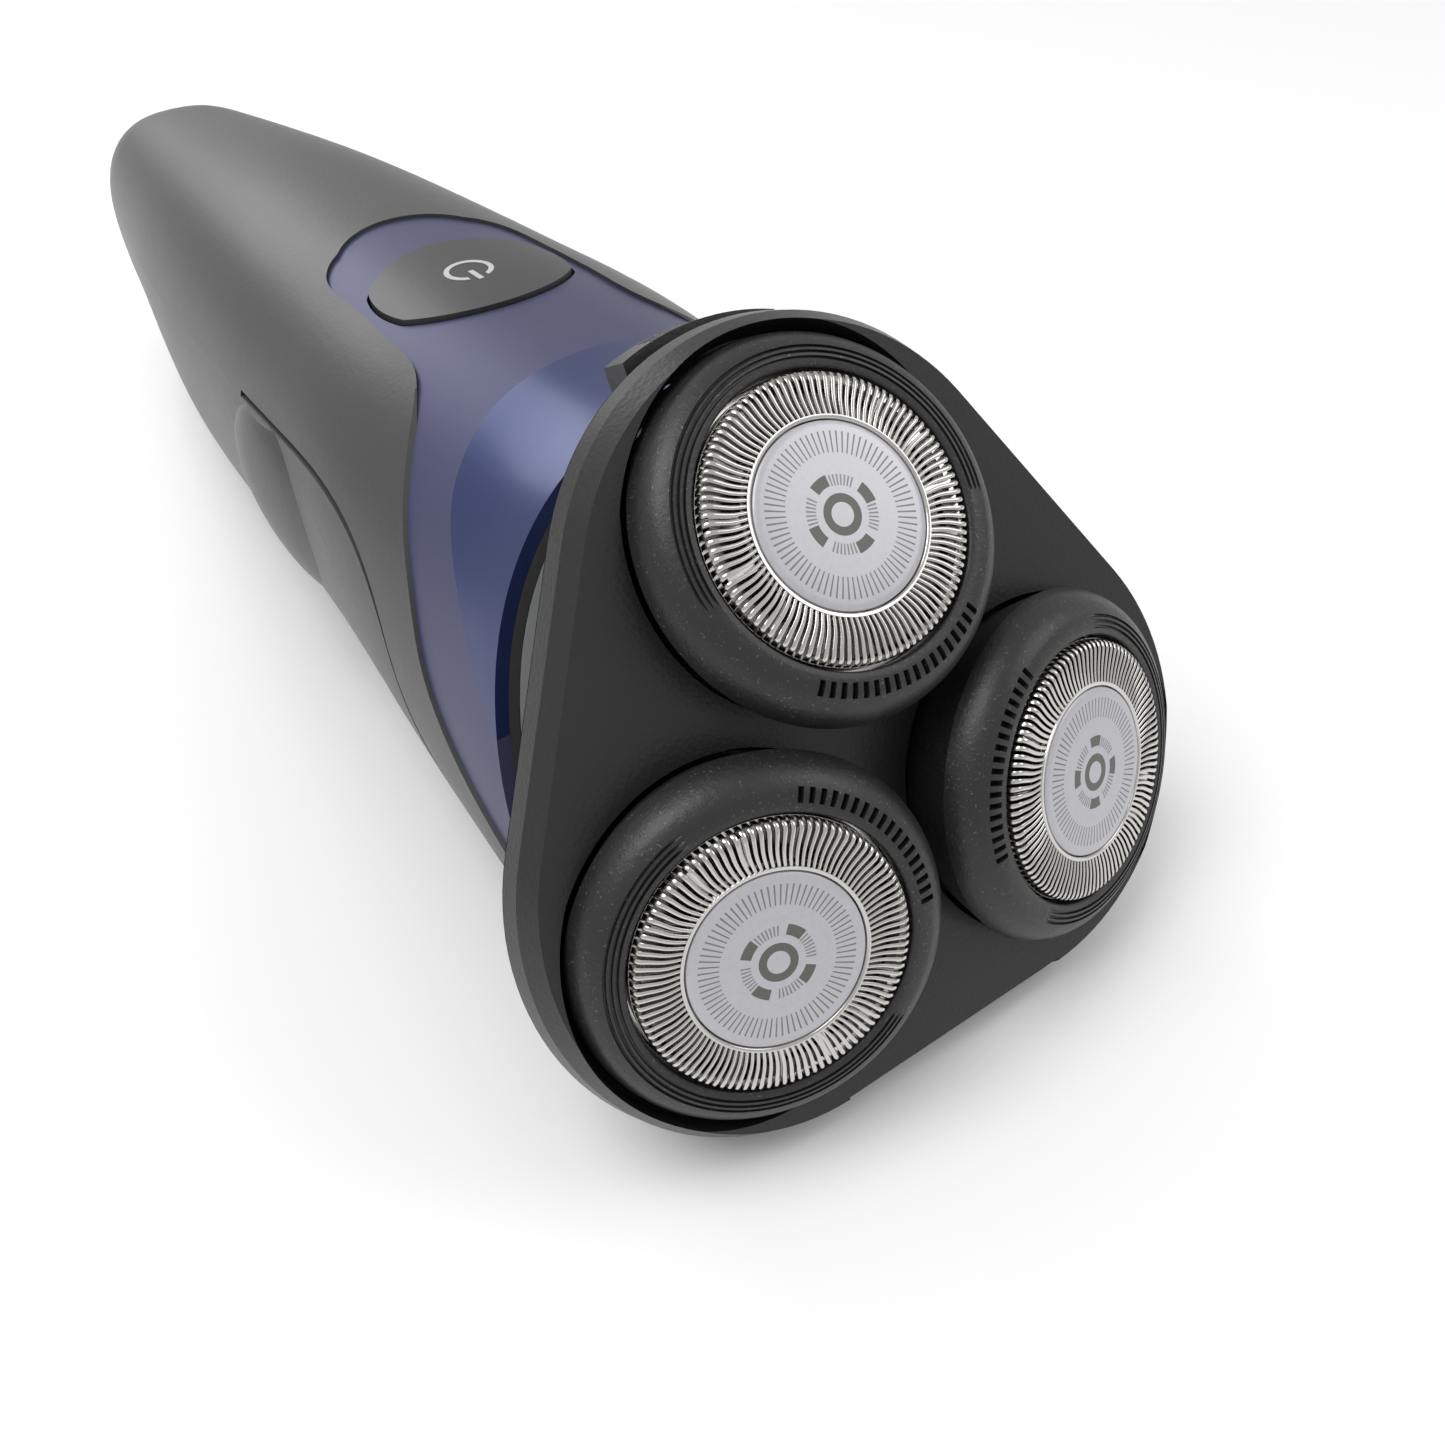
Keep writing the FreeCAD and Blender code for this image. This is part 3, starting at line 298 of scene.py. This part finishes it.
# ---- mesh helpers ---------------------------------------------------------------------------
def spun(profile, steps, closed=True):
    """Revolve a half profile of (radius, height) points about Z."""
    mesh = bmesh.new()
    verts = [mesh.verts.new((radius, 0, height)) for radius, height in profile]
    pairs = list(zip(verts, verts[1:])) + ([(verts[-1], verts[0])] if closed else [])
    edges = [mesh.edges.new(pair) for pair in pairs]
    bmesh.ops.spin(mesh, geom=verts + edges, cent=(0, 0, 0), axis=(0, 0, 1), dvec=(0, 0, 0),
                   angle=2 * math.pi, steps=steps, use_merge=True, use_duplicate=False)
    bmesh.ops.remove_doubles(mesh, verts=mesh.verts, dist=1e-5)
    bmesh.ops.recalc_face_normals(mesh, faces=mesh.faces)
    return mesh


def map_flat(mesh):
    layer = mesh.loops.layers.uv.new("flat")
    for face in mesh.faces:
        for loop in face.loops:
            loop[layer].uv = loop.vert.co.xy


def finish_piece(name, mesh, place, slot, body, replaced=(), sharp=35.0):
    """Turn a millimetre bmesh into a finished piece that rides on a body."""
    map_flat(mesh)
    bmesh.ops.transform(mesh, matrix=place @ SCALE, verts=mesh.verts)
    for face in mesh.faces:
        face.smooth = True
    for edge in mesh.edges:
        edge.smooth = len(edge.link_faces) < 2 or edge.calc_face_angle(0.0) < math.radians(sharp)
    data = bpy.data.meshes.new(name)
    mesh.to_mesh(data)
    mesh.free()
    piece = bpy.data.objects.new(name, data)
    bpy.context.scene.collection.objects.link(piece)
    data.materials.append(MATERIALS[slot])
    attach(piece, body)
    if replaced:
        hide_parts(*replaced)
    return piece


def merge_into(target, source):
    data = bpy.data.meshes.new("part")
    source.to_mesh(data)
    source.free()
    target.from_mesh(data)
    bpy.data.meshes.remove(data)


# ---- guard ----------------------------------------------------------------------------------
def rib_path(t):
    """Radius and height along a rib: across the flat track, over the shoulder and down the wall."""
    if t < TRACK_SHARE:
        along = t / TRACK_SHARE
        return RIB_INNER_RADIUS + (SHOULDER_RADIUS - RIB_INNER_RADIUS) * along, 0.03 * math.sin(math.pi * along)
    bend = min(1.0, (t - TRACK_SHARE) / BEND_SHARE)
    radius = SHOULDER_RADIUS + (GUARD_RADIUS - SHOULDER_RADIUS) * math.sin(bend * math.pi / 2)
    height = -0.6 * (1 - math.cos(bend * math.pi / 2))
    drop = max(0.0, (t - TRACK_SHARE - BEND_SHARE) / (1 - TRACK_SHARE - BEND_SHARE))
    return radius, height - 0.7 * drop


def guard_ribs():
    mesh = bmesh.new()
    bmesh.ops.create_grid(mesh, x_segments=RIB_STEPS, y_segments=3, size=1.0)
    for vert in mesh.verts:
        t = 0.5 * (vert.co.x + 1)
        across = vert.co.y
        radius, height = rib_path(t)
        swirl = 0.05 * (t - 0.5) + 0.012 * math.sin(2 * math.pi * t)
        half = 0.115 + 0.055 * t
        angle = swirl + across * half / radius
        lowered = RIB_SAG * across * across
        vert.co = (radius * math.cos(angle), radius * math.sin(angle), height - lowered)
    bmesh.ops.solidify(mesh, geom=mesh.faces[:], thickness=RIB_THICKNESS)
    bmesh.ops.recalc_face_normals(mesh, faces=mesh.faces)
    rib = mesh.verts[:] + mesh.edges[:] + mesh.faces[:]
    bmesh.ops.spin(mesh, geom=rib, cent=(0, 0, 0), axis=(0, 0, 1), dvec=(0, 0, 0),
                   angle=2 * math.pi * (RIB_COUNT - 1) / RIB_COUNT, steps=RIB_COUNT - 1,
                   use_merge=False, use_duplicate=True)
    return mesh


def make_guard(side):
    mesh = guard_ribs()
    inner_rim = ((DISC_RADIUS + 0.08, -0.9), (DISC_RADIUS + 0.08, -0.04), (DISC_RADIUS + 0.16, 0.03),
                 (DISC_RADIUS + 0.38, 0.02), (DISC_RADIUS + 0.45, -0.12), (DISC_RADIUS + 0.45, -0.9))
    outer_band = ((GUARD_RADIUS - 0.4, -1.15), (GUARD_RADIUS + 0.02, -1.15), (GUARD_RADIUS + 0.02, -2.6),
                  (GUARD_RADIUS + 1.0, -2.65), (GUARD_RADIUS + 1.0, -3.05), (GUARD_RADIUS - 0.4, -3.05))
    merge_into(mesh, spun(inner_rim, RING_STEPS))
    merge_into(mesh, spun(outer_band, RING_STEPS))
    finish_piece("guard_ribs_" + side, mesh, cutter_frame(side), "steel", "holder_" + side,
                 ("slotted_guard_" + side,), 50.0)


def make_disc(side):
    profile = ((0, 0.16), (2.0, 0.16), (4.5, 0.14), (6.0, 0.10), (6.35, 0.06), (6.5, -0.04), (6.55, -0.2),
               (6.55, -0.5), (0, -0.5))
    mesh = spun(profile, RING_STEPS, closed=False)
    finish_piece("guard_disc_face_" + side, mesh, cutter_frame(side), "disc_grey", "holder_" + side,
                 ("guard_disc_" + side,))


# ---- holder ---------------------------------------------------------------------------------
def skirt_radius(height):
    return HOLDER_RADIUS - max(0.0, SHOULDER - height) * SKIRT_TAPER


def holder_profile():
    """Lip, grooved track, dome and skirt; the skirt's points are set to the slanted rim afterwards."""
    points = [(10.42, -2.2), (10.42, -0.85), (10.46, -0.68), (10.56, -0.58), (10.75, -0.53)]
    grooves = []
    radius = TRACK_START
    for _ in range(3):
        grooves += [(radius, 0), (radius + 0.05, 1), (radius + 0.19, 1), (radius + 0.24, 0)]
        radius += 0.42
    points += [(r, -0.5 - 0.16 * (r - TRACK_START) ** 2 - 100 * g) for r, g in grooves]
    points += [(12.25, -0.80), (12.6, -1.02), (12.95, -1.33), (13.25, -1.72), (13.5, -2.16), (13.7, -2.68),
               (13.84, -3.2), (HOLDER_RADIUS, SHOULDER)]
    return points


def make_holder(side):
    skirt = [(13.8, -201), (13.7, -202), (13.6, -203), (12.5, -213), (12.7, -3.9), (12.3, -2.6)]
    mesh = spun(holder_profile() + skirt, HOLDER_STEPS)
    for vert in mesh.verts:
        flat = vert.co.xy
        angle = math.atan2(flat.y, flat.x)
        if vert.co.z < RIM_MARK:
            share = min(1.0, (-200 - vert.co.z) / 3)
            inner = SKIRT_WALL if vert.co.z < INNER_RIM_MARK else 0.0
            rim = RIM_HEIGHT + RIM_SLOPE * HOLDER_RADIUS * 0.9 * math.cos(angle)
            height = SHOULDER + (rim - SHOULDER) * share
            reach = skirt_radius(height) - inner
            vert.co = (reach * math.cos(angle), reach * math.sin(angle), height)
        elif vert.co.z < GROOVE_MARK:
            fade = min(1.0, max(0.0, (GROOVE_HALF_TURN - abs(angle)) / math.radians(5)))
            vert.co.z += 100 - GROOVE_DEPTH * fade
    cut = []
    step = 2 * math.pi / HOLDER_STEPS
    for face in mesh.faces:
        middle = face.calc_center_median()
        radius = middle.xy.length
        inward = abs(math.atan2(middle.y, -middle.x))
        column = int(round(math.atan2(middle.y, -middle.x) / step + 1000.5))
        on_track = VENT_BAND[0] < radius < VENT_BAND[1] and middle.z > VENT_TOP
        if on_track and inward < VENT_HALF_TURN and column % 2:
            cut.append(face)
    sunk = bmesh.ops.extrude_face_region(mesh, geom=cut)
    moved = [item for item in sunk["geom"] if isinstance(item, bmesh.types.BMVert)]
    bmesh.ops.delete(mesh, geom=cut, context="FACES")
    bmesh.ops.translate(mesh, verts=moved, vec=(0, 0, -VENT_DEPTH))
    bmesh.ops.recalc_face_normals(mesh, faces=mesh.faces)
    finish_piece("holder_shell_" + side, mesh, cutter_frame(side), "holder_black", "holder_" + side,
                 ("cutter_holder_" + side,), 30.0)


for side in SIDES:
    make_guard(side)
    make_disc(side)
    make_holder(side)

# ---- finishes for the pieces that keep their own form ---------------------------------------
for name, node in frame["nodes"].items():
    node.data.materials.clear()
    node.data.materials.append(MATERIALS[SLOT_OF[name]])


# ---- floor, light and camera ----------------------------------------------------------------
def make_floor():
    mesh = bmesh.new()
    bmesh.ops.create_grid(mesh, x_segments=1, y_segments=1, size=2.0)
    data = bpy.data.meshes.new("floor")
    mesh.to_mesh(data)
    mesh.free()
    floor = bpy.data.objects.new("floor", data)
    bpy.context.scene.collection.objects.link(floor)
    paint = Paint("floor_white", (0.93, 0.93, 0.93), 0.35)
    paint.put("Roughness", 0.33 + paint.noise(6.0) * 0.05)
    data.materials.append(paint.material)


def add_area(name, place, aim, size, power):
    light = bpy.data.lights.new(name, "AREA")
    light.shape = "DISK"
    light.size = size
    light.energy = power
    lamp = bpy.data.objects.new(name, light)
    lamp.location = place
    lamp.rotation_euler = (Vector(aim) - Vector(place)).to_track_quat("-Z", "Y").to_euler()
    bpy.context.scene.collection.objects.link(lamp)


def make_camera():
    place = HEAD @ (CAMERA_PLACE * MM)
    aim = HEAD @ (CAMERA_AIM * MM)
    forward = (aim - place).normalized()
    up = HEAD.to_3x3() @ Vector((0, 1, 0))
    up = (up - forward * up.dot(forward)).normalized()
    up = Matrix.Rotation(CAMERA_ROLL, 3, forward) @ up
    right = forward.cross(up)
    lens = bpy.data.cameras.new("camera")
    lens.lens = CAMERA_LENS
    lens.sensor_width = 36.0
    lens.clip_start = 0.005
    camera = bpy.data.objects.new("camera", lens)
    camera.matrix_world = axes_matrix(place, right, up, -forward)
    bpy.context.scene.collection.objects.link(camera)
    bpy.context.scene.camera = camera


def make_world():
    world = bpy.data.worlds.new("studio")
    world.use_nodes = True
    background = world.node_tree.nodes["Background"]
    background.inputs[0].default_value = (1.0, 1.0, 1.0, 1.0)
    background.inputs[1].default_value = 0.62
    bpy.context.scene.world = world


make_floor()
make_world()
add_area("key", (-0.35, 0.05, 0.75), (0, 0, 0.03), 0.6, 3.6)
add_area("fill", (0.55, -0.35, 0.55), (0, 0, 0.03), 0.5, 1.2)
add_area("rim", (0.0, 0.9, 0.5), (0, 0.05, 0.03), 0.5, 1.6)
make_camera()
bpy.context.scene.view_settings.view_transform = "Standard"
